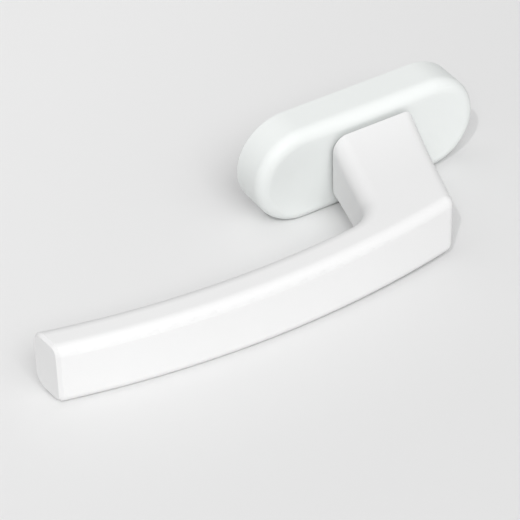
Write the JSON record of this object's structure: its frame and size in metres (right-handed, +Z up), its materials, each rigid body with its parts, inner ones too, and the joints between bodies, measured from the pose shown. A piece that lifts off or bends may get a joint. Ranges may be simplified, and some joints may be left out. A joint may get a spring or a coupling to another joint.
{
  "type": "window handle",
  "caption": "Window handle with a bowed flat lever on a stadium-shaped rose; the lever turns between closed, open and tilt, and the rose cover lifts off its base plate.",
  "frame": {"origin": "on the spindle axis, in the rose's mounting face (the plane that lies on the sash)", "axes": "+Z up along the rose's long axis, the grip hangs towards -Z when the window is closed; -Y out of the sash into the room, along the spindle axis; +X completes the frame"},
  "size_m": [0.028, 0.06, 0.1465],
  "materials": {
    "white_coat": "satin powder coat",
    "cast_metal": "die cast, as cast",
    "acetal": "moulded",
    "sintered_steel": "sintered, oiled",
    "spring_steel": "rolled strip and wire",
    "zinc_plate": "zinc plated"
  },
  "bodies": {
    "base": {"base_plate": "cast_metal", "nose_sleeve_upper": "zinc_plate", "nose_sleeve_lower": "zinc_plate", "bearing_bush": "acetal", "back_disc": "zinc_plate", "leaf_spring_upper": "spring_steel", "leaf_spring_lower": "spring_steel", "snap_ring": "spring_steel"},
    "handle": {"lever": "white_coat", "detent_cam": "sintered_steel", "disc_spring": "spring_steel", "retaining_ring": "spring_steel", "spindle_clip": "spring_steel"},
    "cover": {"rose_cover": "white_coat"}
  },
  "joints": [
    {"name": "handle_turn", "type": "hinge", "parent": "base", "child": "handle", "pos_m": [0, 0, 0], "axis": [0, 1, 0], "range_deg": [0, 180], "deforming": ["leaf_spring_upper", "leaf_spring_lower"]},
    {"name": "cover_lift", "type": "slide", "parent": "base", "child": "cover", "axis": [0, -1, 0], "range_m": [0, 0.001], "deforming": ["snap_ring"]}
  ]
}
